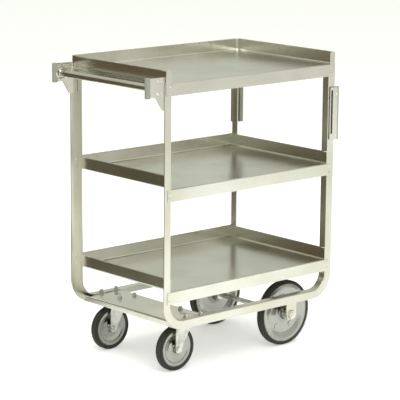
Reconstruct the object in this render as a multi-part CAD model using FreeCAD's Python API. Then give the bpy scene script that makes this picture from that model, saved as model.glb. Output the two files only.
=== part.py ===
import FreeCAD, Part
import math
import os

# Utility cart with tiered shelves. Millimetres, +Z up.
# -X is the handle end with the swivel casters, +X the end with the large fixed wheels.
# Dimensions along X are laid out from the middle of the shelves. Every node is then moved so
# that the origin lies on the floor under the middle of the overall length.

os.makedirs("parts", exist_ok=True)

# ---- U-frames -------------------------------------------------------------------------------
leg_outer_x = 343.0
frame_y = 215.2
angle_width = 25.4
angle_depth = 25.4
angle_thick = 3.0
run_top_z = 169.0
bend_outer_r = 76.0
leg_top_z = 868.2

# ---- Shelves --------------------------------------------------------------------------------
sheet = 1.5
near_fold_r = 1.5
rim_fold_r = 4.0
deck_bottom_z = 262.0
deck_middle_z = 564.0
deck_top_z = 870.0
rim_height = 37.0
flange_drop = 37.0
end_wall_x = leg_outer_x - angle_width - 0.3
lap_end_x = 331.0
shelf_half_y = frame_y + 0.3 + sheet
top_half_x = 340.0
top_corner_r = 12.0
return_length = 21.0
cross_rail_x = -331.0
cross_rail_half_y = 187.4

# ---- Handle ---------------------------------------------------------------------------------
handle_x = -385.0
handle_z = 860.0
handle_r = 10.5
handle_wall = 1.5
socket_r = 19.0
bracket_front_x = -407.0
bracket_bottom_z = 833.5
bracket_top_z = 888.5
gusset_bottom_z = 794.0
bracket_thick = 3.0
column_overhang = 5.0
column_width = 14.0

# ---- Leg bumpers ----------------------------------------------------------------------------
carrier_bottom_z = 637.0
carrier_top_z = 799.0
carrier_left_x = 318.6
carrier_right_x = 350.5
slot_x = 326.5
slot_width = 8.0
bumper_outer_x = 361.0
bumper_screw_x = 347.0
bumper_screw_pitch = 63.0

overall_middle_x = (bumper_outer_x + bracket_front_x - column_overhang) / 2

# ---- Swivel casters -------------------------------------------------------------------------
swivel_x = -212.0
swivel_y = 150.5
caster_axle_x = -244.0
caster_r = 67.7
caster_disc_r = 54.5
caster_half_tread = 12.5
fork_inner = 16.0
fork_thick = 3.0
bolt_pitch_x = 58.0
bolt_pitch_y = 89.0
bolt_r = 4.0

# ---- Bolster --------------------------------------------------------------------------------
bolster_front_x = -296.0
bolster_rear_x = -166.0
bolster_thick = 2.5
bolster_top_z = run_top_z - angle_thick
bolster_bottom_z = 148.0

# ---- Rear wheels ----------------------------------------------------------------------------
rear_x = 197.0
rear_y = 155.5
rear_r = 101.6
rear_disc_r = 90.5
rear_half_tread = 13.5
rear_hub_half = 17.0
axle_r = 8.0
hanger_y = 190.0
running_gap = 0.05

# ---- Fasteners ------------------------------------------------------------------------------
screw_r = 2.5
rivet_r = 2.0
rivet_tail_r = 2.8
hole_gap = 0.05


def vec(x, y, z):
    """Return a vector."""
    return FreeCAD.Vector(x, y, z)


def box(x0, x1, y0, y1, z0, z1):
    """Return a box between two opposite corners."""
    return Part.makeBox(x1 - x0, y1 - y0, z1 - z0, vec(x0, y0, z0))


def cyl(axis, base, radius, length):
    """Return a cylinder from base along one of the axes x, y or z."""
    direction = {"x": vec(1, 0, 0), "y": vec(0, 1, 0), "z": vec(0, 0, 1)}[axis]
    return Part.makeCylinder(radius, length, vec(*base), direction)


def rounded_face(points, radii, plane, offset):
    """Return a face from corner points, each rounded by its own radius, on a plane at offset."""
    def lift(u, v):
        if plane == "xz":
            return vec(u, offset, v)
        if plane == "yz":
            return vec(offset, u, v)
        return vec(u, v, offset)

    count = len(points)
    starts = []
    ends = []
    mids = []
    for i in range(count):
        px, py = points[i - 1]
        cx, cy = points[i]
        nx, ny = points[(i + 1) % count]
        ax, ay = px - cx, py - cy
        bx, by = nx - cx, ny - cy
        la = math.hypot(ax, ay)
        lb = math.hypot(bx, by)
        ax, ay, bx, by = ax / la, ay / la, bx / lb, by / lb
        half = math.acos(max(-1.0, min(1.0, ax * bx + ay * by))) / 2
        radius = radii[i]
        reach = radius / math.tan(half)
        starts.append((cx + ax * reach, cy + ay * reach))
        ends.append((cx + bx * reach, cy + by * reach))
        mx, my = ax + bx, ay + by
        lm = math.hypot(mx, my)
        near = radius / math.sin(half) - radius
        mids.append((cx + mx / lm * near, cy + my / lm * near) if lm > 1e-9 else (cx, cy))
    edges = []
    for i in range(count):
        if radii[i] > 0:
            arc = Part.Arc(lift(*starts[i]), lift(*mids[i]), lift(*ends[i]))
            edges.append(arc.toShape())
        here = ends[i]
        there = starts[(i + 1) % count]
        if math.hypot(here[0] - there[0], here[1] - there[1]) > 1e-6:
            edges.append(Part.LineSegment(lift(*here), lift(*there)).toShape())
    return Part.Face(Part.Wire(edges))


def prism_y(points, radii, y0, y1):
    """Extrude a rounded X-Z outline from y0 to y1."""
    return rounded_face(points, radii, "xz", y0).extrude(vec(0, y1 - y0, 0))


def prism_x(points, radii, x0, x1):
    """Extrude a rounded Y-Z outline from x0 to x1."""
    return rounded_face(points, radii, "yz", x0).extrude(vec(x1 - x0, 0, 0))


def prism_z(points, radii, z0, z1):
    """Extrude a rounded X-Y outline from z0 to z1."""
    return rounded_face(points, radii, "xy", z0).extrude(vec(0, 0, z1 - z0))


def turned(points, radii, x, y, z):
    """Revolve a (radius, offset) outline about the Y-parallel axis through x, y, z."""
    face = rounded_face(points, radii, "xy", 0)
    solid = face.revolve(vec(0, 0, 0), vec(0, 1, 0), 360)
    solid.translate(vec(x, y, z))
    return solid


def hexagon(across, z0, z1, x, y):
    """Return an upright hexagonal nut blank centred on x, y."""
    radius = across / math.sqrt(3)
    corners = [vec(x + radius * math.cos(math.radians(60 * k)),
                   y + radius * math.sin(math.radians(60 * k)), z0) for k in range(6)]
    return Part.Face(Part.makePolygon(corners + [corners[0]])).extrude(vec(0, 0, z1 - z0))


def hexagon_y(across, y0, y1, x, z):
    """Return a hexagonal nut blank lying along Y, centred on x, z."""
    radius = across / math.sqrt(3)
    corners = [vec(x + radius * math.cos(math.radians(60 * k)), y0,
                   z + radius * math.sin(math.radians(60 * k))) for k in range(6)]
    return Part.Face(Part.makePolygon(corners + [corners[0]])).extrude(vec(0, y1 - y0, 0))


def fuse(shapes):
    """Fuse solids into one clean shape."""
    return shapes[0].multiFuse(shapes[1:]).removeSplitter()


def mirror(shape):
    """Mirror a near-side shape to the far side."""
    return shape.mirror(vec(0, 0, 0), vec(0, 1, 0))


def save(name, shape):
    """Write one node, with the origin moved to the middle of the overall length."""
    shape = shape.copy()
    shape.translate(vec(-overall_middle_x, 0, 0))
    shape.exportStep("parts/" + name + ".step")


def both(name, near):
    """Write a near-side node and its mirrored far-side twin."""
    save(name + "_near", near)
    save(name + "_far", mirror(near))


def group(name, shapes):
    """Write identical separate solids as one node."""
    save(name, Part.makeCompound(shapes))


# ---- U-frames -------------------------------------------------------------------------------
outer = leg_outer_x
inner = leg_outer_x - angle_width
run_bottom_z = run_top_z - angle_width
bend_inner_r = bend_outer_r - angle_width


def u_band(x_out, z_out, r_out, x_in, z_in, r_in, y0, y1):
    """Return the band between two nested U outlines."""
    points = [(-x_out, leg_top_z), (-x_out, z_out), (x_out, z_out), (x_out, leg_top_z),
              (x_in, leg_top_z), (x_in, z_in), (-x_in, z_in), (-x_in, leg_top_z)]
    return prism_y(points, [0, r_out, r_out, 0, 0, r_in, r_in, 0], y0, y1)


web = u_band(outer, run_bottom_z, bend_outer_r, inner, run_top_z, bend_inner_r,
             -frame_y, -frame_y + angle_thick)
flange = u_band(inner + angle_thick, run_top_z - angle_thick, bend_inner_r + angle_thick,
                inner, run_top_z, bend_inner_r, -frame_y, -frame_y + angle_depth)
u_frame = fuse([web, flange])
vertex = [e for e in u_frame.Edges
          if abs(e.BoundBox.YMin + frame_y) < 1e-4 and abs(e.BoundBox.YMax + frame_y) < 1e-4
          and e.BoundBox.XMin > -inner - 1e-4 and e.BoundBox.XMax < inner + 1e-4
          and e.BoundBox.ZMin > run_top_z - 1e-4 and e.Length > 10]
u_frame = u_frame.makeFillet(2.6, vertex)
outer_bolt_y = swivel_y + bolt_pitch_y / 2
for side in (-1, 1):
    hole_x = swivel_x + side * bolt_pitch_x / 2
    u_frame = u_frame.cut(cyl("z", (hole_x, -outer_bolt_y, 150), bolt_r + 0.2, 30))
rivet_x = 324.5
rivet_rise = 9.0
near_rivets = [deck_bottom_z - flange_drop / 2, deck_middle_z - flange_drop / 2, deck_top_z - flange_drop / 2]
far_rivets = [deck_bottom_z + rim_height / 2, deck_middle_z + rim_height / 2]


def rivet_holes(levels, y0, y1):
    """Return the drill cylinders for the rivets at each level."""
    return [cyl("y", (sx * rivet_x, y0, level + dz), rivet_r + hole_gap, y1 - y0)
            for level in levels for sx in (-1, 1) for dz in (-rivet_rise, rivet_rise)]


def drilled(shape, tools):
    """Cut every drill cylinder from a shape."""
    for tool in tools:
        shape = shape.cut(tool)
    return shape


save("u_frame_near", drilled(u_frame, rivet_holes(near_rivets, -frame_y - 5, -frame_y + 5)))
save("u_frame_far", drilled(mirror(u_frame), rivet_holes(far_rivets, frame_y - 5, frame_y + 5)))


# ---- Shelves --------------------------------------------------------------------------------
def tray(deck_z, half_x):
    """Return a folded tray: rim up at both ends and the far side, flange down at the near side."""
    low = deck_z - flange_drop
    high = deck_z + rim_height
    under = deck_z - sheet
    hy = shelf_half_y
    near_fold = near_fold_r + sheet
    rim_fold = rim_fold_r + sheet
    across = [(-hy, low), (-hy, deck_z), (hy - sheet, deck_z), (hy - sheet, high), (hy, high),
              (hy, under), (-hy + sheet, under), (-hy + sheet, low)]
    body = prism_x(across, [0, near_fold, rim_fold_r, 0, 0, rim_fold, near_fold_r, 0], -half_x, half_x)
    along = [(-half_x, high), (-half_x, under), (half_x, under), (half_x, high),
             (half_x - sheet, high), (half_x - sheet, deck_z), (-half_x + sheet, deck_z),
             (-half_x + sheet, high)]
    ends = prism_y(along, [0, rim_fold, rim_fold, 0, 0, rim_fold_r, rim_fold_r, 0], -hy + near_fold, hy)
    # the end walls follow the outer round of the far wall's fold
    outline = [(-hy, high), (-hy, under), (hy, under), (hy, high)]
    ends = ends.common(prism_x(outline, [0, 0, rim_fold, 0], -half_x, half_x))
    # the deck's square ends are trimmed back where the end walls fold up
    for side in (-1, 1):
        x0, x1 = sorted((side * half_x, side * (half_x - rim_fold)))
        strip = box(x0, x1, -hy + near_fold, hy - rim_fold, under - 1, deck_z + rim_fold)
        body = body.cut(strip)
    return fuse([body, ends])


def lapped_tray(deck_z):
    """Return a tray that stands between the legs, with its long sides lapped over the leg webs."""
    low = deck_z - flange_drop
    high = deck_z + rim_height
    hy = shelf_half_y
    pieces = [tray(deck_z, end_wall_x)]
    for sx in (-1, 1):
        x0, x1 = sorted((sx * (end_wall_x - 1), sx * lap_end_x))
        pieces.append(box(x0, x1, -hy, -hy + sheet, low, deck_z - near_fold_r - sheet))
        pieces.append(box(x0, x1, hy - sheet, hy, deck_z + rim_fold_r, high))
    return fuse(pieces)


def top_tray():
    """Return the top tray: rolled far corners, and short returns at the near corners."""
    high = deck_top_z + rim_height
    hy = shelf_half_y
    hx = top_half_x
    shape = tray(deck_top_z, hx)
    for sx in (-1, 1):
        # far corner: the square corner is replaced by a rolled one
        x0, x1 = sorted((sx * (hx - top_corner_r), sx * (hx + 1)))
        shape = shape.cut(box(x0, x1, hy - top_corner_r, hy + 1, deck_top_z - 5, high + 1))
        wall_r = top_corner_r - sheet
        bend = rounded_face([(0, deck_top_z - sheet), (top_corner_r, deck_top_z - sheet),
                             (top_corner_r, high), (wall_r, high), (wall_r, deck_top_z), (0, deck_top_z)],
                            [0, rim_fold_r + sheet, 0, 0, rim_fold_r, 0], "xz", 0)
        ring = bend.revolve(vec(0, 0, 0), vec(0, 0, 1), 360)
        ring.translate(vec(sx * (hx - top_corner_r), hy - top_corner_r, 0))
        quarter = box(x0, x1, hy - top_corner_r, hy + 1, deck_top_z - 5, high + 1)
        shape = shape.fuse(ring.common(quarter))
        # near corner: end wall carried round as a short return with a rounded top
        xa, xb = sorted((sx * hx, sx * (hx - return_length)))
        radii = [0, 0, 10, 0] if sx < 0 else [0, 0, 0, 10]
        strip = prism_y([(xa, deck_top_z - 2), (xb, deck_top_z - 2), (xb, high), (xa, high)],
                        radii, -hy, -hy + sheet)
        wall_x0, wall_x1 = sorted((sx * hx, sx * (hx - sheet)))
        join = box(wall_x0, wall_x1, -hy, -hy + 3.2, deck_top_z - 2, high)
        shape = shape.fuse(strip).fuse(join)
    return shape.removeSplitter()


near_drills = rivet_holes(near_rivets, -shelf_half_y - 2, -frame_y + 1)
far_drills = rivet_holes(far_rivets, frame_y - 1, shelf_half_y + 2)
save("shelf_bottom", drilled(lapped_tray(deck_bottom_z), near_drills[:4] + far_drills[:4]))
save("shelf_middle", drilled(lapped_tray(deck_middle_z), near_drills[4:8] + far_drills[4:]))
save("shelf_top", drilled(top_tray(), near_drills[8:]))


# ---- Rivets between shelves and legs ----------------------------------------------------------
def rivet(x, z):
    """Return one near-side blind rivet with a low head outside and a tail inside the leg."""
    head = turned([(0, -0.9), (1.6, -0.9), (3.2, -0.3), (3.2, 0), (0, 0)], [0, 0, 0, 0, 0],
                  x, -shelf_half_y, z)
    shank = cyl("y", (x, -shelf_half_y - 0.1, z), rivet_r, shelf_half_y + 0.1 - frame_y + angle_thick + 1.0)
    tail = cyl("y", (x, -frame_y + angle_thick, z), rivet_tail_r, 1.5)
    return fuse([head, shank, tail])


rivets = [rivet(sx * rivet_x, level + dz) for level in near_rivets for sx in (-1, 1)
          for dz in (-rivet_rise, rivet_rise)]
rivets += [mirror(rivet(sx * rivet_x, level + dz)) for level in far_rivets for sx in (-1, 1)
           for dz in (-rivet_rise, rivet_rise)]
group("shelf_rivets", rivets)

# ---- Handle ---------------------------------------------------------------------------------
plate_y0 = -frame_y + angle_thick + 0.1
plate_y1 = plate_y0 + bracket_thick
plate_points = [(-top_half_x - 1.0, bracket_top_z), (bracket_front_x, bracket_top_z),
                (bracket_front_x, bracket_bottom_z), (-375.0, bracket_bottom_z),
                (-350.0, gusset_bottom_z), (-321.5, gusset_bottom_z), (-321.5, leg_top_z - 0.4),
                (-top_half_x - 1.0, leg_top_z - 0.4)]
plate = prism_y(plate_points, [3, 10, 10, 12, 6, 3, 0, 1], plate_y0, plate_y1)
lip = prism_y([(-top_half_x - 4.0, bracket_top_z), (bracket_front_x + 12, bracket_top_z),
               (bracket_front_x + 12, bracket_top_z - 2.5), (-top_half_x - 4.0, bracket_top_z - 2.5)],
              [0, 0, 0, 0], plate_y0, plate_y1 + 9)
bracket = fuse([plate, lip])
screw_spots = [(-366.0, 880.0), (-351.0, 880.0), (-366.0, 843.0), (-351.0, 843.0)]
for x, z in screw_spots:
    bracket = bracket.cut(cyl("y", (x, plate_y0 - 1, z), screw_r + hole_gap, bracket_thick + 2))
save("handle_bracket_far", mirror(bracket))
# the near bracket clears the tails of the rivets that hold the top tray's flange
for dz in (-rivet_rise, rivet_rise):
    tail_hole = cyl("y", (-rivet_x, plate_y0 - 1, near_rivets[2] + dz), rivet_tail_r + 0.4, bracket_thick + 2)
    bracket = bracket.cut(tail_hole)
save("handle_bracket_near", bracket)

tube_y = abs(plate_y1)
tube = cyl("y", (handle_x, -tube_y, handle_z), handle_r, 2 * tube_y)
tube = tube.cut(cyl("y", (handle_x, -tube_y - 1, handle_z), handle_r - handle_wall, 2 * tube_y + 2))
save("handle_tube", tube)

socket = turned([(handle_r + 0.05, 0), (socket_r, 0), (socket_r, 3.0), (14.0, 4.5), (14.0, 12.0),
                 (handle_r + 0.05, 12.0)],
                [0, 1, 1, 0, 1.5, 0], handle_x, plate_y1, handle_z)
both("handle_socket", socket)

column_x0 = bracket_front_x - column_overhang
column_x1 = column_x0 + column_width
column_y0 = plate_y0 - 5.5
column_y1 = plate_y1 + 5.5
column = prism_z([(column_x0, column_y0), (column_x1, column_y0),
                  (column_x1, column_y1), (column_x0, column_y1)],
                 [6, 3, 3, 6], bracket_bottom_z - 1.5, bracket_top_z + 1.5)
crown = [e for e in column.Edges if abs(e.BoundBox.ZMax - e.BoundBox.ZMin) < 1e-6]
column = column.makeFillet(2.0, crown).cut(bracket)
column = column.cut(cyl("y", (handle_x, plate_y1, handle_z), socket_r + 0.3, 8.0))
both("handle_bumper", column)

screws = []
for x, z in screw_spots:
    shank = cyl("y", (x, plate_y0 - 0.5, z), screw_r, bracket_thick + 2.5)
    dome = turned([(0, -2.2), (2.4, -2.2), (4.5, -1.0), (4.5, 0), (0, 0)], [0, 0.8, 0.6, 0, 0],
                  x, plate_y0, z)
    nut = hexagon_y(8.0, plate_y1, plate_y1 + 3.0, x, z)
    screws.append(fuse([shank, dome, nut]))
group("handle_screws", screws + [mirror(s) for s in screws])

rail_x = cross_rail_x
rail = prism_y([(rail_x, 846.0), (rail_x + sheet, 846.0), (rail_x + sheet, leg_top_z - sheet),
                (rail_x + 18.0, leg_top_z - sheet), (rail_x + 18.0, leg_top_z), (rail_x, leg_top_z)],
               [0, 0, 1, 0, 0, 2.5], -cross_rail_half_y, cross_rail_half_y)
save("handle_cross_rail", rail)

# ---- Leg bumpers ----------------------------------------------------------------------------
carrier_y = -frame_y - 6.3
carrier = prism_y([(carrier_left_x, carrier_bottom_z), (carrier_right_x, carrier_bottom_z),
                   (carrier_right_x, carrier_top_z), (carrier_left_x, carrier_top_z)],
                  [4, 8, 8, 4], carrier_y, carrier_y + sheet)
slot_half = slot_width / 2
slot_face = prism_y([(slot_x - slot_half, carrier_bottom_z + 18), (slot_x + slot_half, carrier_bottom_z + 18),
                     (slot_x + slot_half, carrier_top_z - 8), (slot_x - slot_half, carrier_top_z - 8)],
                    [3.9, 3.9, 3.9, 3.9], carrier_y - 1, carrier_y + sheet + 1)
carrier = carrier.cut(slot_face)
foot_z0 = carrier_bottom_z + 5
foot_z1 = carrier_top_z - 5
left_foot = box(carrier_left_x, carrier_left_x + sheet, carrier_y + 0.5, -frame_y, foot_z0, foot_z1)
right_foot = box(leg_outer_x - 4.5, leg_outer_x - 3.0, carrier_y + 0.5, -frame_y, foot_z0, foot_z1)
carrier = fuse([carrier, left_foot, right_foot])
middle_z = (carrier_bottom_z + carrier_top_z) / 2 - 4
bumper_screw_z = [middle_z - bumper_screw_pitch, middle_z, middle_z + bumper_screw_pitch]
bumper_y0 = carrier_y + sheet
bumper = prism_z([(leg_outer_x + 0.5, bumper_y0), (bumper_outer_x, bumper_y0),
                  (bumper_outer_x, bumper_y0 + 15), (leg_outer_x + 0.5, bumper_y0 + 15)],
                 [1, 6.5, 6.5, 1], carrier_bottom_z, carrier_top_z)
caps = [e for e in bumper.Edges if abs(e.BoundBox.ZMax - e.BoundBox.ZMin) < 1e-6]
bumper = bumper.makeFillet(0.9, caps)
for z in bumper_screw_z:
    carrier = carrier.cut(cyl("y", (bumper_screw_x, carrier_y - 1, z), 2.0 + hole_gap, sheet + 2))
    bumper = bumper.cut(cyl("y", (bumper_screw_x, bumper_y0 - 1, z), 2.0 + hole_gap, 11))
both("leg_bumper_carrier", carrier)
both("leg_bumper", bumper)
bumper_screws = []
for z in bumper_screw_z:
    shank = cyl("y", (bumper_screw_x, carrier_y - 0.4, z), 2.0, 10)
    dome = turned([(0, -1.8), (2.0, -1.8), (3.3, -0.8), (3.3, 0), (0, 0)], [0, 0.6, 0.4, 0, 0],
                  bumper_screw_x, carrier_y, z)
    bumper_screws.append(fuse([shank, dome]))
group("leg_bumper_screws", bumper_screws + [mirror(s) for s in bumper_screws])

# ---- Caster bolster -------------------------------------------------------------------------
bolster_end = frame_y - angle_thick - 0.1
fold = 4.0
bolster = prism_y([(bolster_front_x, bolster_bottom_z), (bolster_front_x, bolster_top_z),
                   (bolster_rear_x, bolster_top_z), (bolster_rear_x, bolster_bottom_z),
                   (bolster_rear_x - bolster_thick, bolster_bottom_z),
                   (bolster_rear_x - bolster_thick, bolster_top_z - bolster_thick),
                   (bolster_front_x + bolster_thick, bolster_top_z - bolster_thick),
                   (bolster_front_x + bolster_thick, bolster_bottom_z)],
                  [0, fold, fold, 0, 0, fold - bolster_thick, fold - bolster_thick, 0],
                  -bolster_end, bolster_end)
bolt_spots = []
for sy in (-1, 1):
    for sx in (-1, 1):
        for outward in (-1, 1):
            bolt_spots.append((swivel_x + sx * bolt_pitch_x / 2,
                               sy * (swivel_y + outward * bolt_pitch_y / 2), outward > 0))
for x, y, _ in bolt_spots:
    bolster = bolster.cut(cyl("z", (x, y, 140), bolt_r + 0.2, 40))
for sy in (-1, 1):
    bolster = bolster.cut(cyl("z", (swivel_x, sy * swivel_y, 140), 9.0, 40))
save("caster_bolster", bolster)

# ---- Caster mounting fasteners --------------------------------------------------------------
caster_plate_top = bolster_top_z - bolster_thick
caster_plate_bottom = caster_plate_top - 4.0
bolts = []
nuts = []
washers = []
for x, y, on_flange in bolt_spots:
    seat = run_top_z if on_flange else bolster_top_z
    head = hexagon(12.0, caster_plate_bottom - 5.0, caster_plate_bottom, x, y)
    bolt_shank = cyl("z", (x, y, caster_plate_bottom - 1), bolt_r, seat + 10 - caster_plate_bottom)
    bolts.append(fuse([head, bolt_shank]))
    washer = cyl("z", (x, y, seat), 7.5, 1.2).cut(cyl("z", (x, y, seat - 1), bolt_r + 0.2, 4))
    washers.append(washer)
    nut = hexagon(12.0, seat + 1.2, seat + 7.0, x, y).cut(cyl("z", (x, y, seat), bolt_r + hole_gap, 12))
    nuts.append(nut)
group("caster_bolts", bolts)
group("caster_nuts", nuts)
group("caster_washers", washers)

# ---- Swivel casters (near side, mirrored to the far side) -----------------------------------
sy = -swivel_y
plate_half_x = 40.0
plate_half_y = 57.0
plate_x0 = swivel_x - plate_half_x
plate_x1 = swivel_x + plate_half_x
top_plate = prism_z([(plate_x0, sy - plate_half_y), (plate_x1, sy - plate_half_y),
                     (plate_x1, sy + plate_half_y), (plate_x0, sy + plate_half_y)],
                    [8, 8, 8, 8], caster_plate_bottom, caster_plate_top)
for x, y, _ in bolt_spots:
    if y < 0:
        top_plate = top_plate.cut(cyl("z", (x, y, 140), bolt_r + 0.2, 40))
kingpin_r = 6.0
top_plate = top_plate.cut(cyl("z", (swivel_x, sy, 140), kingpin_r, 40))
both("caster_plate", top_plate)

race_bottom = 151.0
race = cyl("z", (swivel_x, sy, race_bottom), 27.0, caster_plate_bottom - race_bottom)
race = race.cut(cyl("z", (swivel_x, sy, race_bottom - 1), kingpin_r, 20))
race_rim = [e for e in race.Edges if abs(e.BoundBox.ZMax - race_bottom) < 1e-6 and e.Length > 100]
race = race.makeFillet(3.0, race_rim)
both("caster_upper_race", race)

crown_bottom = 142.0
crown_top = 145.0
kingpin_bottom = crown_bottom - 5.3
kingpin = fuse([cyl("z", (swivel_x, sy, kingpin_bottom), kingpin_r, caster_plate_top + 2 - kingpin_bottom),
                cyl("z", (swivel_x, sy, kingpin_bottom), 10.0, 5.0)])
both("caster_kingpin", kingpin)

caster_z = caster_r
ear_left = caster_axle_x - 11.0
crown_right = swivel_x + 24.0
ear_points = [(crown_right, crown_top), (ear_left, crown_top), (ear_left, caster_z - 12),
              (caster_axle_x + 11, caster_z - 12), (caster_axle_x + 16, caster_z + 8)]
fork_y0 = sy - fork_inner - fork_thick
fork_y1 = sy + fork_inner + fork_thick
fork = [box(ear_left, crown_right, fork_y0, fork_y1, crown_bottom, crown_top),
        cyl("z", (swivel_x, sy, crown_bottom), 24.0, 5.7 + crown_top - crown_bottom)]
for inner_y in (sy - fork_inner - fork_thick, sy + fork_inner):
    ear = prism_y(ear_points, [3, 3, 9, 9, 10], inner_y, inner_y + fork_thick)
    fork.append(ear)
fork = fuse(fork)
fork = fork.cut(cyl("z", (swivel_x, sy, crown_bottom - 1), kingpin_r + running_gap, 20))
caster_bolt_r = 4.0
fork = fork.cut(cyl("y", (caster_axle_x, sy - 30, caster_z), caster_bolt_r, 60))
both("caster_fork", fork)

ear_out = fork_inner + fork_thick
axle = fuse([cyl("y", (caster_axle_x, sy - ear_out - 0.5, caster_z), caster_bolt_r, 2 * ear_out + 9),
             hexagon_y(13.0, sy - ear_out - 4.0, sy - ear_out, caster_axle_x, caster_z)])
both("caster_axle_bolt", axle)
axle_nut = hexagon_y(13.0, sy + ear_out, sy + ear_out + 6.5, caster_axle_x, caster_z)
axle_nut = axle_nut.cut(cyl("y", (caster_axle_x, sy, caster_z), caster_bolt_r, 40))
both("caster_axle_nut", axle_nut)
bushing_r = 7.0
bushing = cyl("y", (caster_axle_x, sy - fork_inner, caster_z), bushing_r, 2 * fork_inner)
bushing = bushing.cut(cyl("y", (caster_axle_x, sy - fork_inner - 1, caster_z), caster_bolt_r,
                          2 * fork_inner + 2))
both("caster_bushing", bushing)

bore = bushing_r + running_gap
hub_half = fork_inner - 0.5
disc_points = [(bore, -hub_half), (13.0, -hub_half), (14.5, -7.5), (28.0, -4.5), (42.0, -7.0),
               (46.0, -9.5), (caster_disc_r, -9.5), (caster_disc_r, 9.5), (46.0, 9.5), (42.0, 7.0),
               (28.0, 4.5), (14.5, 7.5), (13.0, hub_half), (bore, hub_half)]
disc_radii = [0, 1.5, 2.5, 8, 4, 2, 0, 0, 2, 4, 8, 2.5, 1.5, 0]
both("caster_disc", turned(disc_points, disc_radii, caster_axle_x, sy, caster_z))
tyre_points = [(caster_disc_r, -10.2), (caster_disc_r + 3.5, -caster_half_tread), (caster_r, -8.0),
               (caster_r, 8.0), (caster_disc_r + 3.5, caster_half_tread), (caster_disc_r, 10.2)]
both("caster_tyre", turned(tyre_points, [0, 2.5, 4, 4, 2.5, 0], caster_axle_x, sy, caster_z))

# ---- Rear axle ------------------------------------------------------------------------------
axle_tip = hanger_y + bracket_thick + 9.0
save("rear_axle", cyl("y", (rear_x, -axle_tip, rear_r), axle_r, 2 * axle_tip))
hanger = prism_y([(rear_x - 22, bolster_top_z), (rear_x - 20, rear_r - 16), (rear_x + 20, rear_r - 16),
                  (rear_x + 22, bolster_top_z)], [0, 13, 13, 0], -hanger_y - bracket_thick, -hanger_y)
seat = box(rear_x - 22, rear_x + 22, -frame_y + angle_thick + 0.1, -hanger_y - bracket_thick + 0.5,
           bolster_top_z - bracket_thick, bolster_top_z)
hanger = fuse([hanger, seat])
hanger = hanger.cut(cyl("y", (rear_x, -hanger_y - 10, rear_r), axle_r, 20))
both("rear_axle_hanger", hanger)
rear_nut = hexagon_y(24.0, -hanger_y - bracket_thick - 7.0, -hanger_y - bracket_thick, rear_x, rear_r)
rear_nut = rear_nut.cut(cyl("y", (rear_x, -hanger_y - 20, rear_r), axle_r, 20))
both("rear_axle_nut", rear_nut)
hub_outer = rear_y + rear_hub_half
spacer = cyl("y", (rear_x, -hanger_y, rear_r), 13.0, hanger_y - hub_outer - 0.3)
spacer = spacer.cut(cyl("y", (rear_x, -hanger_y - 1, rear_r), axle_r, 40))
both("rear_axle_spacer", spacer)
hub_inner = rear_y - rear_hub_half
collar = cyl("y", (rear_x, -hub_inner + 0.3, rear_r), 15.0, 10.0)
collar = collar.cut(cyl("y", (rear_x, -hub_inner - 1, rear_r), axle_r, 20))
both("rear_axle_collar", collar)

# ---- Rear wheels ----------------------------------------------------------------------------
rear_bore = axle_r + running_gap
rim_in = rear_disc_r - 9.0
rear_points = [(rear_bore, -rear_hub_half), (18.0, -rear_hub_half), (20.5, -6.5), (34.0, -3.0), (62.0, -3.5),
               (76.0, -8.5), (rim_in, -10.0), (rear_disc_r, -10.0), (rear_disc_r, 10.0), (rim_in, 10.0),
               (76.0, 6.0), (62.0, 0.5), (34.0, 1.0), (20.5, 6.5), (18.0, rear_hub_half),
               (rear_bore, rear_hub_half)]
rear_radii = [0, 2, 3, 8, 14, 5, 1.5, 0, 0, 1.5, 5, 12, 8, 3, 2, 0]
rear_disc = turned(rear_points, rear_radii, rear_x, -rear_y, rear_r)
pad_count = 5
for k in range(pad_count):
    angle = math.radians(360 / pad_count * k + 90)
    pad_x = rear_x + 50 * math.cos(angle)
    pad_z = rear_r + 50 * math.sin(angle)
    pad = cyl("y", (pad_x, -rear_y - 4.6, pad_z), 9.0, 4.0)
    rear_disc = rear_disc.fuse(pad)
rear_disc = rear_disc.removeSplitter()
both("rear_disc", rear_disc)
rear_tyre_points = [(rear_disc_r, -10.6), (rear_disc_r + 2.5, -rear_half_tread), (rear_r, -8.0),
                    (rear_r, 8.0), (rear_disc_r + 2.5, rear_half_tread), (rear_disc_r, 10.6)]
both("rear_tyre", turned(rear_tyre_points, [0, 2, 3, 3, 2, 0], rear_x, -rear_y, rear_r))
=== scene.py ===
import logging
import math
from dataclasses import dataclass, field
from enum import Enum
from typing import Any

import bpy
import numpy as np
from mathutils import Matrix, Vector


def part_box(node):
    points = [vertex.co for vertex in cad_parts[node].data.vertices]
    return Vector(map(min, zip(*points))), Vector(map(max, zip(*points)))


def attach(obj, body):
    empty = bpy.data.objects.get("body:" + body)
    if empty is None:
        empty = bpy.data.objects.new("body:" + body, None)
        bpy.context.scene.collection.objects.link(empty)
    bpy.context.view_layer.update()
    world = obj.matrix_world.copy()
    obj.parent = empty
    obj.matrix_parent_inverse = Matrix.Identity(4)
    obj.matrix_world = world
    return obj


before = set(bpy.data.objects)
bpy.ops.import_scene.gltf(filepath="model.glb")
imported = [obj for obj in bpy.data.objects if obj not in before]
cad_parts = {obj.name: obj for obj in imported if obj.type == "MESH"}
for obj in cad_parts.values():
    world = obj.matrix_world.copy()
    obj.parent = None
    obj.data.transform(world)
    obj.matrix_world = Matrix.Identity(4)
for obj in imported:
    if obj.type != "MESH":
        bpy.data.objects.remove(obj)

logging.basicConfig(level=logging.INFO, format="%(message)s")
log = logging.getLogger("cart")

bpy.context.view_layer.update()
MM = 0.001
SIDES = ("near", "far")
Number = float | int


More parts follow.
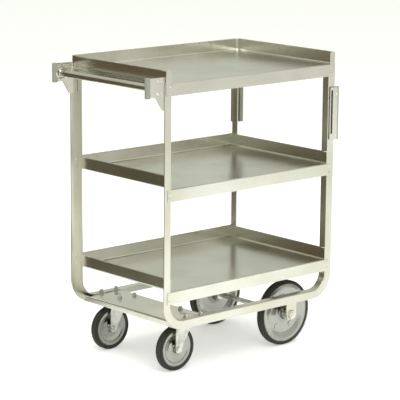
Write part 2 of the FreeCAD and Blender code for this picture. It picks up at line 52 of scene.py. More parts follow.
# ---------------------------------------------------------------------------------------------
# Shader language
# ---------------------------------------------------------------------------------------------
class Value:
    """A number that varies over a surface: one output of a shader node, open to arithmetic."""

    def __init__(self, shader: "Shader", socket: bpy.types.NodeSocket) -> None:
        """Wrap a node output.

        Args:
            shader: the shader that the node belongs to.
            socket: the node's output socket.
        """
        self.shader = shader
        self.socket = socket

    def _do(self, operation: str, *others: "Value | Number") -> "Value":
        """Return this value combined with others by a Math node."""
        return self.shader.maths(operation, self, *others)

    def __add__(self, other: "Value | Number") -> "Value":
        """Return the sum."""
        return self._do("ADD", other)

    def __radd__(self, other: Number) -> "Value":
        """Return the sum with a number on the left."""
        return self.shader.maths("ADD", other, self)

    def __sub__(self, other: "Value | Number") -> "Value":
        """Return the difference."""
        return self._do("SUBTRACT", other)

    def __rsub__(self, other: Number) -> "Value":
        """Return a number minus this value."""
        return self.shader.maths("SUBTRACT", other, self)

    def __mul__(self, other: "Value | Number") -> "Value":
        """Return the product."""
        return self._do("MULTIPLY", other)

    def __rmul__(self, other: Number) -> "Value":
        """Return the product with a number on the left."""
        return self.shader.maths("MULTIPLY", other, self)

    def __abs__(self) -> "Value":
        """Return the size without the sign."""
        return self._do("ABSOLUTE")

    def __gt__(self, other: "Value | Number") -> "Value":
        """Return 1 where this value is larger, else 0."""
        return self._do("GREATER_THAN", other)

    def clamped(self) -> "Value":
        """Return this value held between 0 and 1."""
        return self.shader.node("ShaderNodeClamp", {}, {"Value": self})

    def rising(self, start: float, end: float) -> "Value":
        """Return a smooth 0 to 1 step.

        Args:
            start: the value where the step begins.
            end: the value where it is complete; it may be below start.

        Returns:
            The stepped value.
        """
        stops = {"interpolation_type": "SMOOTHSTEP", "clamp": True}
        return self.shader.node("ShaderNodeMapRange", stops,
                                {"Value": self, "From Min": start, "From Max": end})


class Shader:
    """One material under construction."""

    def __init__(self, name: str) -> None:
        """Make an empty node material.

        Args:
            name: the material's name.
        """
        self.material = bpy.data.materials.new(name)
        self.material.use_nodes = True
        self.tree = self.material.node_tree
        self.tree.nodes.clear()

    def node(self, kind: str, settings: dict[str, Any], inputs: dict[Any, Any], output: Any = 0) -> Value:
        """Make any node.

        Args:
            kind: the node's type.
            settings: its own settings, set first; "stops" holds a ramp's (place, colour) pairs.
            inputs: values or links by socket name or number.
            output: the name or number of the output wanted.

        Returns:
            The chosen output, wrapped.
        """
        made = self.tree.nodes.new(kind)
        for key, setting in settings.items():
            if key == "stops":
                elements = made.color_ramp.elements
                for place, colour in setting[len(elements):]:
                    elements.new(place)
                for element, (place, colour) in zip(elements, setting):
                    element.position = place
                    element.color = (*colour, 1.0)
            else:
                setattr(made, key, setting)
        for key, given in inputs.items():
            if isinstance(given, Value):
                self.tree.links.new(given.socket, made.inputs[key])
            else:
                made.inputs[key].default_value = given
        return Value(self, made.outputs[output])

    def maths(self, operation: str, *terms: Value | Number) -> Value:
        """Return a Math node's result for one to three terms."""
        return self.node("ShaderNodeMath", {"operation": operation}, dict(enumerate(terms)))

    def place(self) -> Value:
        """Return the object coordinates."""
        return self.node("ShaderNodeTexCoord", {}, {}, "Object")

    def parts(self, vector: Value) -> tuple[Value, Value, Value]:
        """Return a vector's x, y and z."""
        split = self.node("ShaderNodeSeparateXYZ", {}, {0: vector})
        owner = split.socket.node
        return tuple(Value(self, owner.outputs[i]) for i in range(3))

    def stretched(self, vector: Value, scale: tuple[float, float, float],
                  shift: tuple[float, float, float] = (0.0, 0.0, 0.0)) -> Value:
        """Return coordinates scaled by axis, then shifted."""
        return self.node("ShaderNodeMapping", {}, {"Vector": vector, "Scale": scale, "Location": shift})

    def noise(self, vector: Value, scale: float, detail: float = 2.0, rough: float = 0.5) -> Value:
        """Return smooth noise between 0 and 1."""
        return self.node("ShaderNodeTexNoise", {"noise_dimensions": "3D"},
                         {"Vector": vector, "Scale": scale, "Detail": detail, "Roughness": rough}, "Fac")

    def flecks(self, vector: Value, scale: float) -> Value:
        """Return the distance to the nearest of many scattered points."""
        return self.node("ShaderNodeTexVoronoi", {}, {"Vector": vector, "Scale": scale}, "Distance")

    def ramp(self, factor: Value, *stops: tuple[float, tuple[float, float, float]]) -> Value:
        """Return a colour looked up on a ramp."""
        return self.node("ShaderNodeValToRGB", {"stops": stops}, {"Fac": factor}, "Color")

    def tint(self, factor: Value | Number, first: Any, second: Any) -> Value:
        """Return two colours mixed by a factor.

        Args:
            factor: 0 gives the first colour, 1 the second.
            first: a colour or a link.
            second: a colour or a link.

        Returns:
            The mixed colour.
        """
        def full(colour: Any) -> Any:
            return colour if isinstance(colour, Value) else (*colour, 1.0)

        return self.node("ShaderNodeMix", {"data_type": "RGBA"},
                         {0: factor, 6: full(first), 7: full(second)}, 2)

    def bump(self, height: Value, strength: float, distance: float) -> Value:
        """Return a bumped normal."""
        return self.node("ShaderNodeBump", {}, {"Strength": strength, "Distance": distance,
                                                "Height": height}, "Normal")

    def surface(self, **inputs: Any) -> bpy.types.Material:
        """Close the material with a principled shader.

        Args:
            inputs: values or links by socket name, with underscores for spaces.

        Returns:
            The finished material.
        """
        named = {key.replace("_", " "): value for key, value in inputs.items()}
        shader = self.node("ShaderNodeBsdfPrincipled", {}, named, "BSDF")
        self.node_output(shader)
        return self.material

    def node_output(self, shader: Value) -> None:
        """Link a shader to the material's output."""
        out = self.tree.nodes.new("ShaderNodeOutputMaterial")
        self.tree.links.new(shader.socket, out.inputs["Surface"])


# ---------------------------------------------------------------------------------------------
# Finishes
# ---------------------------------------------------------------------------------------------
class Grain(Enum):
    """The way the brushing runs on a stainless piece."""

    LENGTHWISE = "along X"
    CROSSWISE = "along Y"
    UPRIGHT = "along Z"
    U_FRAME = "up the legs and along the run"
    TRAY = "along the deck, and along the end walls"


@dataclass(frozen=True)
class BrushedStainless:
    """Number 4 brushed stainless sheet.

    The grain is noise drawn out along the brushing. A coarser drawn-out noise gives the soft
    streaks, and a broad even noise gives wiped and handled areas.
    """

    name: str
    grain: Grain
    node: str = "shelf_top"
    end_x: float = 0.340
    colour: tuple[float, float, float] = (0.66, 0.655, 0.585)
    warm: tuple[float, float, float] = (0.52, 0.50, 0.39)
    # colour of the painted shade laid over the sheet in broad bands
    painted_shade: tuple[float, float, float] = (0.40, 0.39, 0.31)
    roughness: float = 0.22
    fine: float = 900.0
    coarse: float = 70.0
    along: float = 3.0
    strength: float = 0.05
    run_height: float = 0.215
    fold: float = 0.005

    def _scale(self, grain: Grain, across: float) -> tuple[float, float, float]:
        """Return the noise scale by axis for a grain and a fineness across it."""
        slow = self.along
        return {Grain.LENGTHWISE: (slow, across, across), Grain.CROSSWISE: (across, slow, across),
                Grain.UPRIGHT: (across, across, slow)}[grain]

    def _drawn(self, shader: Shader, place: Value, grain: Grain, across: float, detail: float) -> Value:
        """Return noise drawn out along a grain."""
        return shader.noise(shader.stretched(place, self._scale(grain, across)), 1.0, detail, 0.6)

    def _layer(self, shader: Shader, place: Value, across: float, detail: float) -> Value:
        """Return one layer of grain for this piece's own pattern."""
        if self.grain is Grain.U_FRAME:
            height = shader.parts(place)[2]
            legs = self._drawn(shader, place, Grain.UPRIGHT, across, detail)
            run = self._drawn(shader, place, Grain.LENGTHWISE, across, detail)
            share = height.rising(self.run_height - 0.02, self.run_height + 0.01)
            return legs * share + run * (1 - share)
        if self.grain is Grain.TRAY:
            low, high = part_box(self.node)
            from_middle = abs(shader.parts(place)[0] - (low.x + high.x) / 2)
            ends = self._drawn(shader, place, Grain.CROSSWISE, across, detail)
            deck = self._drawn(shader, place, Grain.LENGTHWISE, across, detail)
            share = from_middle > self.end_x - self.fold
            return ends * share + deck * (1 - share)
        return self._drawn(shader, place, self.grain, across, detail)

    def make(self) -> bpy.types.Material:
        """Build the material."""
        shader = Shader(self.name)
        place = shader.place()
        fine = self._layer(shader, place, self.fine, 2.0)
        streak = self._layer(shader, place, self.coarse, 3.0)
        handled = shader.noise(place, 5.5, 3.0, 0.55)
        wiped = shader.noise(shader.stretched(place, (9.0, 4.0, 9.0)), 1.0, 4.0, 0.65)
        spots = shader.flecks(place, 46.0)
        marks = spots.rising(0.06, 0.02) * (shader.noise(place, 17.0, 2.0) > 0.70)
        # painted shade: a broad banded noise darkens the sheet towards the shade colour
        painted_shade_band = shader.noise(shader.stretched(place, (2.6, 1.1, 2.2)), 1.0, 1.0, 0.4)
        colour = shader.tint(handled.rising(0.38, 0.72) * 0.55, self.colour, self.warm)
        colour = shader.tint((streak - 0.5) * 0.5 + 0.16, colour, (0.60, 0.60, 0.56))
        colour = shader.tint(marks * 0.12, colour, (0.42, 0.40, 0.34))
        colour = shader.tint(painted_shade_band.rising(0.40, 0.62) * 0.30, colour, self.painted_shade)
        rough = self.roughness + (streak - 0.5) * 0.08 + (wiped - 0.5) * 0.08 + marks * 0.06
        normal = shader.bump(fine + streak * 0.6, self.strength, 0.0004)
        return shader.surface(Base_Color=colour, Metallic=1.0, Roughness=rough.clamped(), Normal=normal,
                              Anisotropic=0.35)


@dataclass(frozen=True)
class ZincPlate:
    """Bright zinc plate on a pressed or turned steel piece, with faint mottling and dulled corners."""

    name: str
    colour: tuple[float, float, float] = (0.60, 0.60, 0.57)
    tarnish: tuple[float, float, float] = (0.36, 0.35, 0.29)
    roughness: float = 0.24

    def make(self) -> bpy.types.Material:
        """Build the material."""
        shader = Shader(self.name)
        place = shader.place()
        cloud = shader.noise(place, 38.0, 4.0, 0.6)
        crystal = shader.flecks(place, 260.0)
        scuff = shader.noise(shader.stretched(place, (60.0, 300.0, 90.0)), 1.0, 3.0)
        colour = shader.tint(cloud.rising(0.42, 0.75), self.colour, self.tarnish)
        colour = shader.tint(crystal * 0.18, colour, (0.66, 0.67, 0.70))
        rough = self.roughness + (cloud - 0.5) * 0.22 + scuff.rising(0.55, 0.8) * 0.12
        normal = shader.bump(crystal * 0.4 + scuff, 0.10, 0.0003)
        return shader.surface(Base_Color=colour, Metallic=1.0, Roughness=rough.clamped(), Normal=normal)


@dataclass(frozen=True)
class TurnedDisc:
    """Bright pressed wheel disc: fine rings about the hub, painted shade by the rim and round the hub, and
    random dark blotches of dirt.
    """

    name: str
    centre_x: float
    centre_z: float
    radius: float
    hub: float
    colour: tuple[float, float, float] = (0.36, 0.365, 0.335)
    shade_and_grime: tuple[float, float, float] = (0.17, 0.15, 0.105)

    def make(self) -> bpy.types.Material:
        """Build the material."""
        shader = Shader(self.name)
        place = shader.place()
        x, _, z = shader.parts(place)
        across = x - self.centre_x
        up = z - self.centre_z
        reach = shader.maths("SQRT", across * across + up * up)
        rings = shader.maths("SINE", reach * 5200.0)
        wobble = shader.noise(place, 60.0, 3.0)
        broad = shader.noise(place, 14.0, 3.0, 0.6)
        # painted shade: the disc is darkened in a ring by the tyre and round the hub, where shade falls;
        # the broad noise adds random dirt blotches
        rim_shade = reach.rising(self.radius * 0.90, self.radius * 1.0)
        hub_shade = reach.rising(self.hub * 1.7, self.hub * 1.0)
        shade_and_dirt = (rim_shade * 0.55 + hub_shade * 0.5) * wobble.rising(0.3, 0.7) + broad.rising(0.55, 0.8) * 0.25
        colour = shader.tint(shade_and_dirt.clamped(), self.colour, self.shade_and_grime)
        rough = 0.20 + (broad - 0.5) * 0.16 + shade_and_dirt * 0.3
        normal = shader.bump(rings * 0.5 + wobble, 0.12, 0.0003)
        return shader.surface(Base_Color=colour, Metallic=1.0, Roughness=rough.clamped(), Normal=normal)


@dataclass(frozen=True)
class CushionRubber:
    """Black wheel rubber: greyed where it rolls, with faint scuffs across the tread."""

    name: str
    centre_x: float
    centre_z: float
    radius: float
    colour: tuple[float, float, float] = (0.017, 0.017, 0.013)
    dust: tuple[float, float, float] = (0.055, 0.050, 0.037)

    def make(self) -> bpy.types.Material:
        """Build the material."""
        shader = Shader(self.name)
        place = shader.place()
        x, y, z = shader.parts(place)
        across = x - self.centre_x
        up = z - self.centre_z
        reach = shader.maths("SQRT", across * across + up * up)
        tread = reach.rising(self.radius - 0.0022, self.radius - 0.0004)
        grit = shader.noise(place, 420.0, 3.0, 0.7)
        cloud = shader.noise(place, 30.0, 4.0, 0.6)
        scuff = shader.noise(shader.stretched(place, (90.0, 1100.0, 90.0)), 1.0, 2.0)
        dusty = (tread * 0.4 + cloud.rising(0.55, 0.85) * 0.2) * grit.rising(0.3, 0.75)
        colour = shader.tint(dusty.clamped(), self.colour, self.dust)
        rough = 0.50 + tread * 0.2 + (cloud - 0.5) * 0.2
        normal = shader.bump(grit * 0.5 + scuff * tread, 0.25, 0.0004)
        return shader.surface(Base_Color=colour, Metallic=0.0, Roughness=rough.clamped(), Normal=normal,
                              Specular_IOR_Level=0.4)


@dataclass(frozen=True)
class GreyVinyl:
    """Grey moulded bumper vinyl with a fine pebble and rubbed outer edges."""

    name: str
    colour: tuple[float, float, float] = (0.235, 0.24, 0.20)
    rubbed: tuple[float, float, float] = (0.38, 0.375, 0.32)

    def make(self) -> bpy.types.Material:
        """Build the material."""
        shader = Shader(self.name)
        place = shader.place()
        pebble = shader.flecks(place, 900.0)
        cloud = shader.noise(place, 24.0, 3.0, 0.6)
        scrape = shader.noise(shader.stretched(place, (260.0, 260.0, 40.0)), 1.0, 3.0, 0.7)
        worn = scrape.rising(0.55, 0.8) * 0.7 + cloud.rising(0.5, 0.8) * 0.3
        colour = shader.tint(worn.clamped(), self.colour, self.rubbed)
        rough = 0.46 + (cloud - 0.5) * 0.25
        normal = shader.bump(pebble + scrape * 0.6, 0.22, 0.0003)
        return shader.surface(Base_Color=colour, Metallic=0.0, Roughness=rough.clamped(), Normal=normal)


@dataclass(frozen=True)
class StudioFloor:
    """Plain pale studio floor."""

    name: str = "pale_floor"
    colour: tuple[float, float, float] = (0.86, 0.86, 0.86)
    glow: float = 0.34

    def make(self) -> bpy.types.Material:
        """Build the material."""
        shader = Shader(self.name)
        return shader.surface(Base_Color=(*self.colour, 1.0), Roughness=0.9,
                              Emission_Color=(1.0, 1.0, 1.0, 1.0), Emission_Strength=self.glow)


@dataclass(frozen=True)
class CardPaint:
    """Even light or shade for a studio card."""

    name: str
    colour: tuple[float, float, float]
    power: float

    def make(self) -> bpy.types.Material:
        """Build the material."""
        shader = Shader(self.name)
        return shader.surface(Base_Color=(0.0, 0.0, 0.0, 1.0), Roughness=1.0, Specular_IOR_Level=0.0,
                              Emission_Color=(*self.colour, 1.0), Emission_Strength=self.power)


# ---------------------------------------------------------------------------------------------
# Surfaces
# ---------------------------------------------------------------------------------------------
def grid_object(name: str, points: np.ndarray, wrap_rows: bool, wrap_columns: bool,
                caps: bool = False) -> bpy.types.Object:
    """Make a quad surface from a grid of points.

    Corner (i, j) of the grid joins (i+1, j), (i+1, j+1) and (i, j+1). A wrapped direction joins
    its last line to its first. Caps close the first and last row with a fan about their mean.

    Args:
        name: the object's name.
        points: an array of rows by columns by 3, in metres.
        wrap_rows: whether the last row joins the first.
        wrap_columns: whether the last column joins the first.
        caps: whether the two end rows are closed.

    Returns:
        The new object, with its place in its mesh.
    """
    rows, columns = points.shape[:2]
    i = np.arange(rows if wrap_rows else rows - 1)
    j = np.arange(columns if wrap_columns else columns - 1)
    a, b = np.meshgrid(i, j, indexing="ij")
    a1, b1 = (a + 1) % rows, (b + 1) % columns
    quads = np.stack([a * columns + b, a1 * columns + b, a1 * columns + b1, a * columns + b1], -1)
    faces = quads.reshape(-1, 4).tolist()
    verts = points.reshape(-1, 3)
    if caps:
        first, last = len(verts), len(verts) + 1
        verts = np.vstack([verts, points[0].mean(0), points[-1].mean(0)])
        ring = np.arange(columns)
        after = (ring + 1) % columns
        start = (rows - 1) * columns
        faces += np.stack([ring, after, np.full(columns, first)], -1).tolist()
        faces += np.stack([start + after, start + ring, np.full(columns, last)], -1).tolist()
    mesh = bpy.data.meshes.new(name)
    mesh.from_pydata(verts.tolist(), [], faces)
    mesh.validate()
    made = bpy.data.objects.new(name, mesh)
    bpy.context.scene.collection.objects.link(made)
    face_outwards(mesh)
    mesh.shade_smooth()
    return made


def face_outwards(mesh: bpy.types.Mesh) -> None:
    """Turn a closed mesh's faces outwards, by the sign of its volume."""
    count = len(mesh.vertices)
    co = np.empty(count * 3)
    mesh.vertices.foreach_get("co", co)
    co = co.reshape(-1, 3)
    co = co - co.mean(0)
    mesh.calc_loop_triangles()
    tri = np.empty(len(mesh.loop_triangles) * 3, np.int32)
    mesh.loop_triangles.foreach_get("vertices", tri)
    a, b, c = (co[tri.reshape(-1, 3)[:, k]] for k in range(3))
    if np.einsum("ij,ij->i", a, np.cross(b, c)).sum() < 0:
        mesh.flip_normals()


def joined(name: str, pieces: list[bpy.types.Object]) -> bpy.types.Object:
    """Join several objects into one.

    Args:
        name: the joined object's name.
        pieces: the objects, which are used up.

    Returns:
        The joined object.
    """
    for other in bpy.context.selected_objects:
        other.select_set(False)
    for piece in pieces:
        piece.select_set(True)
    bpy.context.view_layer.objects.active = pieces[0]
    if len(pieces) > 1:
        bpy.ops.object.join()
    pieces[0].name = name
    pieces[0].data.name = name
    return pieces[0]


def ring_about_y(centre: Vector, radii: np.ndarray, offsets: np.ndarray, steps: int) -> np.ndarray:
    """Turn a closed outline about an axis parallel to Y.

    A point at angle a and outline place k lies at centre + r[k] (cos a, 0, sin a) + (0, y[k], 0).

    Args:
        centre: a point on the axis.
        radii: the outline's distances from the axis.
        offsets: the outline's places along the axis.
        steps: how many steps go round.

    Returns:
        A grid of steps by outline points by 3.
    """
    turn = np.linspace(0.0, 2.0 * math.pi, steps, endpoint=False)[:, None]
    x = centre.x + radii[None, :] * np.cos(turn)
    y = centre.y + np.broadcast_to(offsets[None, :], x.shape)
    z = centre.z + radii[None, :] * np.sin(turn)
    return np.stack([x, y, z], -1)


def carried(path: np.ndarray, normals: np.ndarray, binormals: np.ndarray, radius: np.ndarray | float,
            sides: int) -> np.ndarray:
    """Carry a circle along a path.

    Row i is the circle path[i] + r[i] (cos a normal[i] + sin a binormal[i]).

    Args:
        path: the path's points, n by 3.
        normals: the circle's first axis at each point.
        binormals: the circle's second axis at each point.
        radius: one radius, or one for each point.
        sides: how many points go round the circle.

    Returns:
        A grid of n by sides by 3.
    """
    turn = np.linspace(0.0, 2.0 * math.pi, sides, endpoint=False)
    size = np.broadcast_to(np.asarray(radius, float), (len(path),))[:, None, None]
    outward = np.cos(turn)[None, :, None] * normals[:, None, :]
    outward = outward + np.sin(turn)[None, :, None] * binormals[:, None, :]
    return path[:, None, :] + size * outward


def level_path_frames(path: np.ndarray) -> tuple[np.ndarray, np.ndarray]:
    """Return sideways and upward unit vectors along a path that stays level."""
    ahead = np.gradient(path, axis=0)
    ahead /= np.linalg.norm(ahead, axis=1)[:, None]
    up = np.tile((0.0, 0.0, 1.0), (len(path), 1))
    return np.cross(up, ahead), up


def corner_arc(centre: tuple[float, float], radius: float, start: float, end: float, z: float,
               steps: int = 10) -> np.ndarray:
    """Return points on a level arc: centre + r (cos a, sin a) from start to end degrees."""
    turn = np.radians(np.linspace(start, end, steps))
    return np.stack([centre[0] + radius * np.cos(turn), centre[1] + radius * np.sin(turn),
                     np.full(steps, z)], -1)


def dressed(piece: bpy.types.Object, finish: bpy.types.Material, body: str) -> bpy.types.Object:
    """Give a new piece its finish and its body."""
    piece.data.materials.clear()
    piece.data.materials.append(finish)
    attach(piece, body)
    log.info("made %s on %s", piece.name, body)
    return piece


def middle(node: str) -> Vector:
    """Return the centre of a CAD node's box."""
    low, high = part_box(node)
    return (low + high) / 2


# ---------------------------------------------------------------------------------------------
# The cart
# ---------------------------------------------------------------------------------------------
@dataclass
class Finishes:
    """Every finish of the cart, made once."""

    caster_x: float = field(default_factory=lambda: middle("caster_tyre_near").x)
    caster_z: float = field(default_factory=lambda: middle("caster_tyre_near").z)
    rear_x: float = field(default_factory=lambda: middle("rear_tyre_near").x)
    rear_z: float = field(default_factory=lambda: middle("rear_tyre_near").z)

    def __post_init__(self) -> None:
        """Make the materials."""
        self.top_tray = BrushedStainless("brushed_top_tray", Grain.TRAY).make()
        self.tray = BrushedStainless("brushed_tray", Grain.TRAY, "shelf_middle", 0.3173).make()
        self.legs = BrushedStainless("brushed_u_frame", Grain.U_FRAME, roughness=0.30).make()
        self.across = BrushedStainless("brushed_crosswise", Grain.CROSSWISE).make()
        self.upright = BrushedStainless("brushed_upright", Grain.UPRIGHT, roughness=0.30).make()
        self.lengthwise = BrushedStainless("brushed_lengthwise", Grain.LENGTHWISE).make()
        self.plate = ZincPlate("zinc_plate").make()
        self.fastener = ZincPlate("zinc_fastener", colour=(0.70, 0.69, 0.64), roughness=0.32).make()
        self.caster_disc = TurnedDisc("caster_disc_bright", self.caster_x, self.caster_z,
                                      radius=0.0545, hub=0.013).make()
        self.rear_disc = TurnedDisc("rear_disc_bright", self.rear_x, self.rear_z,
                                    radius=0.0905, hub=0.018).make()
        self.caster_tyre = CushionRubber("caster_rubber", self.caster_x, self.caster_z, 0.0677).make()
        self.rear_tyre = CushionRubber("rear_rubber", self.rear_x, self.rear_z, 0.1016).make()
        self.vinyl = GreyVinyl("bumper_vinyl").make()

    def for_node(self, node: str) -> bpy.types.Material:
        """Return the finish of a CAD node by its name."""
        table = (("shelf_rivets", self.fastener), ("shelf_top", self.top_tray),
                 ("shelf_", self.tray), ("u_frame", self.legs),
                 ("handle_tube", self.across), ("handle_bracket", self.lengthwise),
                 ("handle_socket", self.across), ("handle_cross_rail", self.across),
                 ("handle_bumper", self.vinyl), ("caster_bolster", self.across),
                 ("leg_bumper_carrier", self.upright), ("leg_bumper_screws", self.fastener),
                 ("leg_bumper", self.vinyl), ("rear_axle_hanger", self.upright),
                 ("caster_disc", self.caster_disc), ("rear_disc", self.rear_disc),
                 ("caster_tyre", self.caster_tyre), ("rear_tyre", self.rear_tyre),
                 ("caster_plate", self.plate), ("caster_upper_race", self.plate),
                 ("caster_fork", self.plate))
        for start, finish in table:
            if node.startswith(start):
                return finish
        return self.fastener


@dataclass
class TrayHems:
    """Safe half-round hems on the tray rims."""

    finishes: Finishes
    radius: float = 1.25 * MM
    sheet: float = 1.5 * MM
    corner: float = 12.0 * MM
    end_wall: float = 317.3 * MM

    def _bead(self, name: str, path: np.ndarray) -> bpy.types.Object:
        """Carry the hem's round section along a level path and close its ends."""
        sideways, up = level_path_frames(path)
        return grid_object(name, carried(path, sideways, up, self.radius, 10), False, True, caps=True)

    def build(self) -> None:
        """Make the hems of the three trays."""
        for node in ("shelf_bottom", "shelf_middle"):
            low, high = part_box(node)
            z = high.z - self.radius
            inset = self.sheet / 2
            centre = (low.x + high.x) / 2
            reach = self.end_wall - inset
            y0, y1 = low.y + 0.004, high.y - self.sheet
            pieces = []
            for k, x in enumerate((centre - reach, centre + reach)):
                path = np.linspace((x, y0, z), (x, y1, z), 12)
                pieces.append(self._bead(f"{node}_hem_{k}", path))
            path = np.linspace((low.x + 0.001, high.y - inset, z), (high.x - 0.001, high.y - inset, z), 24)
            pieces.append(self._bead(f"{node}_hem_far", path))
            dressed(joined(f"{node}_hems", pieces), self.finishes.across, "frame")
        self._top()

    def _top(self) -> None:
        """Make the top tray's hem, which runs round the far corners in one piece."""
        low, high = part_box("shelf_top")
        z = high.z - self.radius
        inset = self.sheet / 2
        x0, x1 = low.x + inset, high.x - inset
        y1 = high.y - inset
        bend = self.corner - inset
        path = np.vstack([
            np.linspace((x0, low.y + 0.002, z), (x0, y1 - bend, z), 20)[:-1],
            corner_arc((x0 + bend, y1 - bend), bend, 180.0, 90.0, z)[:-1],
            np.linspace((x0 + bend, y1, z), (x1 - bend, y1, z), 30)[:-1],
            corner_arc((x1 - bend, y1 - bend), bend, 90.0, 0.0, z)[:-1],
            np.linspace((x1, y1 - bend, z), (x1, low.y + 0.002, z), 20),
        ])
        dressed(self._bead("shelf_top_hem", path), self.finishes.lengthwise, "frame")


@dataclass
class SocketWelds:
    """Rippled weld beads round the foot of each handle socket."""

    finishes: Finishes
    ring: float = 19.6 * MM
    bead: float = 1.5 * MM
    ripple: float = 0.28 * MM
    ripples: int = 46

    def build(self) -> None:
        """Make both beads: a ring whose section swells and shrinks with the ripples."""
        for side in SIDES:
            low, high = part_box(f"handle_socket_{side}")
            centre = (low + high) / 2
            y = low.y if side == "near" else high.y
            turn = np.linspace(0.0, 2.0 * math.pi, self.ripples * 6, endpoint=False)
            out = np.stack([np.cos(turn), np.zeros_like(turn), np.sin(turn)], -1)
            along = np.tile((0.0, 1.0, 0.0), (len(turn), 1))
            path = np.array(centre)[None, :] * (1.0, 0.0, 1.0) + (0.0, y, 0.0) + out * self.ring
            size = self.bead + self.ripple * np.cos(turn * self.ripples)
            grid = carried(path, out, along, size, 8)
            dressed(grid_object(f"handle_socket_weld_{side}", grid, True, True), self.finishes.fastener,
                    "frame")


@dataclass
class TyreRings:
    """Raised mould rings on the tyre walls."""

    finishes: Finishes
    height: float = 0.5 * MM
    width: float = 0.9 * MM

    def build(self) -> None:
        """Make a ring on each wall of each tyre."""
        for kind, inset, at in (("caster", 0.0040, 0.0009), ("rear", 0.0030, 0.0008)):
            for side in SIDES:
                low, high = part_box(f"{kind}_tyre_{side}")
                centre = (low + high) / 2
                reach = (high.z - low.z) / 2 - inset
                finish = self.finishes.caster_tyre if kind == "caster" else self.finishes.rear_tyre
                body = f"{kind}_wheel_{side}"
                pieces = []
                for sign, y in ((-1, low.y), (1, high.y)):
                    turn = np.linspace(0.0, 2.0 * math.pi, 9, endpoint=False)
                    radii = reach + self.width * np.cos(turn)
                    offsets = y - centre.y - sign * at + self.height * np.sin(turn)
                    pieces.append(grid_object(f"ring_{sign}", ring_about_y(centre, radii, offsets, 96),
                                              True, True))
                dressed(joined(f"{kind}_tyre_rings_{side}", pieces), finish, body)


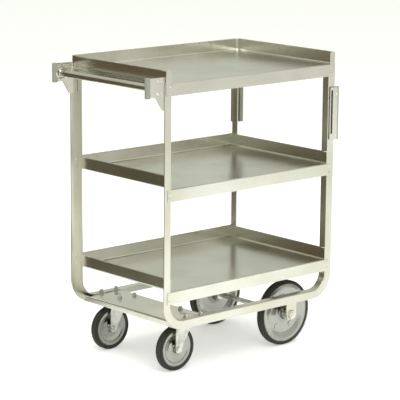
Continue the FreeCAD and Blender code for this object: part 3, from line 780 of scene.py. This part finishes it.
@dataclass
class Studio:
    """Floor, lights, reflecting cards and camera."""

    place: tuple[float, float, float] = (-3.8387, -4.260, 1.648)
    heading: float = 47.88
    tilt: float = -11.7
    roll: float = 0.5
    lens: float = 173.2
    aim: tuple[float, float, float] = (0.0, 0.0, 0.5)
    card_rise: float = 0.002
    floor_half: float = 30.0
    sky: tuple[float, float, float] = (0.58, 0.60, 0.53)
    sky_power: float = 1.2

    def _hang(self, name: str, corners: list[tuple[float, float, float]],
              colour: tuple[float, float, float], power: float) -> None:
        """Make a card that shows only in reflections.

        Args:
            name: the card's name.
            corners: its four corners in order.
            colour: its colour.
            power: its brightness.
        """
        mesh = bpy.data.meshes.new(name)
        mesh.from_pydata(corners, [], [(0, 1, 2, 3)])
        card = bpy.data.objects.new(name, mesh)
        bpy.context.scene.collection.objects.link(card)
        mesh.materials.append(CardPaint(name, colour, power).make())
        card.visible_camera = False
        card.visible_diffuse = False
        card.visible_shadow = False

    def _card(self, name: str, centre: tuple[float, float, float], size: tuple[float, float],
              colour: tuple[float, float, float], power: float) -> None:
        """Stand a card so that it faces the cart."""
        half_w, half_h = size[0] / 2, size[1] / 2
        at = Vector(centre)
        facing = (Vector(self.aim) - at).normalized()
        turn = facing.to_track_quat("Z", "Y").to_matrix()
        corners = [tuple(at + turn @ Vector((sx * half_w, sy * half_h, 0.0)))
                   for sx, sy in ((-1, -1), (1, -1), (1, 1), (-1, 1))]
        self._hang(name, corners, colour, power)

    def _floor_card(self, name: str, reach: tuple[float, float], width: float,
                    colour: tuple[float, float, float], power: float) -> None:
        """Lay a card on the floor to the camera's left.

        Args:
            name: the card's name.
            reach: how far from the origin it starts and ends, in metres.
            width: its width across that direction.
            colour: its colour.
            power: its brightness.
        """
        heading = math.radians(self.heading)
        left = np.array((-math.sin(heading), math.cos(heading)))
        ahead = np.array((math.cos(heading), math.sin(heading)))
        places = [left * r + ahead * (side * width / 2) for r, side in
                  ((reach[0], -1), (reach[1], -1), (reach[1], 1), (reach[0], 1))]
        corners = [(float(x), float(y), self.card_rise) for x, y in places]
        self._hang(name, corners, colour, power)

    def _light(self, name: str, place: tuple[float, float, float], size: float, power: float,
               colour: tuple[float, float, float] = (1.0, 1.0, 1.0)) -> None:
        """Hang a soft square light aimed at the cart."""
        lamp = bpy.data.lights.new(name, "AREA")
        lamp.energy = power
        lamp.size = size
        lamp.color = colour
        made = bpy.data.objects.new(name, lamp)
        made.location = place
        made.rotation_mode = "QUATERNION"
        made.rotation_quaternion = (Vector(self.aim) - Vector(place)).to_track_quat("-Z", "Y")
        bpy.context.scene.collection.objects.link(made)

    def build(self) -> None:
        """Set up the studio."""
        half = self.floor_half
        mesh = bpy.data.meshes.new("floor")
        mesh.from_pydata([(-half, -half, 0), (half, -half, 0), (half, half, 0), (-half, half, 0)], [],
                         [(0, 1, 2, 3)])
        floor = bpy.data.objects.new("floor", mesh)
        bpy.context.scene.collection.objects.link(floor)
        mesh.materials.append(StudioFloor().make())
        world = bpy.data.worlds.new("studio")
        world.use_nodes = True
        background = world.node_tree.nodes["Background"]
        background.inputs["Color"].default_value = (*self.sky, 1.0)
        background.inputs["Strength"].default_value = self.sky_power
        bpy.context.scene.world = world
        self._light("key", (-2.2, -3.6, 4.2), 3.2, 160.0)
        self._light("top", (0.4, 0.2, 4.6), 3.6, 110.0)
        self._card("white_card", (2.9, -3.4, 0.9), (3.6, 3.4), (1.0, 0.99, 0.95), 0.95)
        self._card("brown_card", (-3.0, 3.3, 0.55), (4.4, 3.6), (0.16, 0.12, 0.07), 1.0)
        self._floor_card("olive_floor_card", (0.86, 6.5), 3.4, (0.135, 0.120, 0.080), 1.0)
        self._camera()
        bpy.context.scene.view_settings.view_transform = "Standard"

    def _camera(self) -> None:
        """Place the camera by its heading from +X, its tilt from level and its roll."""
        data = bpy.data.cameras.new("camera")
        data.lens = self.lens
        data.sensor_width = 36.0
        data.clip_end = 100.0
        heading, tilt, roll = (math.radians(a) for a in (self.heading, self.tilt, self.roll))
        ahead = Vector((math.cos(heading) * math.cos(tilt), math.sin(heading) * math.cos(tilt),
                        math.sin(tilt)))
        level = Vector((math.sin(heading), -math.cos(heading), 0.0))
        upward = level.cross(ahead)
        right = level * math.cos(roll) + upward * math.sin(roll)
        top = upward * math.cos(roll) - level * math.sin(roll)
        camera = bpy.data.objects.new("camera", data)
        turn = Matrix((right, top, -ahead)).transposed()
        camera.matrix_world = Matrix.Translation(self.place) @ turn.to_4x4()
        bpy.context.scene.collection.objects.link(camera)
        bpy.context.scene.camera = camera


def main() -> None:
    """Dress the CAD nodes, add the small pieces and set up the studio."""
    finishes = Finishes()
    for node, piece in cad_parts.items():
        for index in range(max(1, len(piece.material_slots))):
            if piece.material_slots:
                piece.material_slots[index].material = finishes.for_node(node)
            else:
                piece.data.materials.append(finishes.for_node(node))
        log.info("dressed %s", node)
    TrayHems(finishes).build()
    SocketWelds(finishes).build()
    TyreRings(finishes).build()
    Studio().build()


if __name__ == "__main__":
    main()
